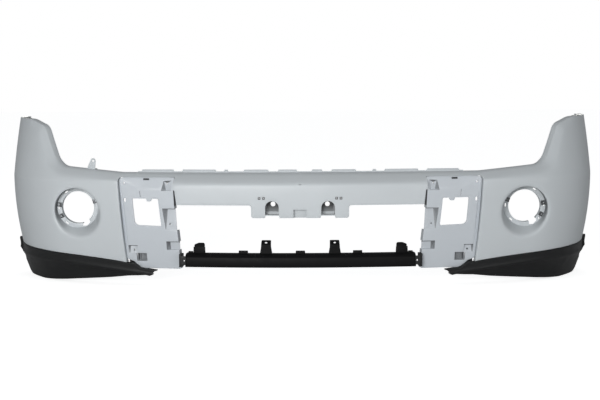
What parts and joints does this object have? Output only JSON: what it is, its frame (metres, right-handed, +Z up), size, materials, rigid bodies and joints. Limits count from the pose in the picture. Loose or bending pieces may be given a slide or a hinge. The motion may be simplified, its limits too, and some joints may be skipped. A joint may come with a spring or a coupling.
{
  "type": "front bumper cover",
  "caption": "Moulded front bumper cover with raised wings, recessed trim panels, round fog-lamp seats, black lower corners and a black lower intake bar.",
  "frame": {"origin": "centre of the cover's bounding box, on the ground it stands on", "axes": "+X across the vehicle towards the viewer's right when seen from the front, +Y towards the rear of the vehicle, +Z up; the front faces -Y"},
  "size_m": [1.8216, 0.559, 0.4881],
  "materials": {
    "primer": "satin",
    "black_textured": "matte",
    "black_nylon": "satin",
    "zinc": "satin",
    "nylon": "satin"
  },
  "bodies": {
    "root": {"face_skin": "primer", "trim_panel_left": "primer", "trim_panel_right": "primer", "fog_carrier_left": "primer", "fog_carrier_right": "primer", "fog_carrier_screws": "zinc", "fog_lamp_nuts": "zinc", "lower_corner_left": "black_textured", "lower_corner_right": "black_textured", "lower_corner_rivets": "black_nylon", "corner_bolts": "black_nylon", "lower_bar": "black_textured", "bar_bracket_left": "black_textured", "bar_bracket_right": "black_textured", "bar_screws": "zinc", "grille_strip": "primer", "grille_strip_rivets": "black_nylon", "washer_bracket": "primer", "washer_bracket_screw": "zinc", "panel_screws": "zinc", "panel_nuts_left": "zinc", "panel_nuts_right": "zinc", "clip_seat_left": "nylon", "clip_seat_right": "nylon", "plate_grommets": "black_nylon", "fender_nuts_left": "zinc", "fender_nuts_right": "zinc", "arch_screws": "zinc"}
  },
  "joints": []
}
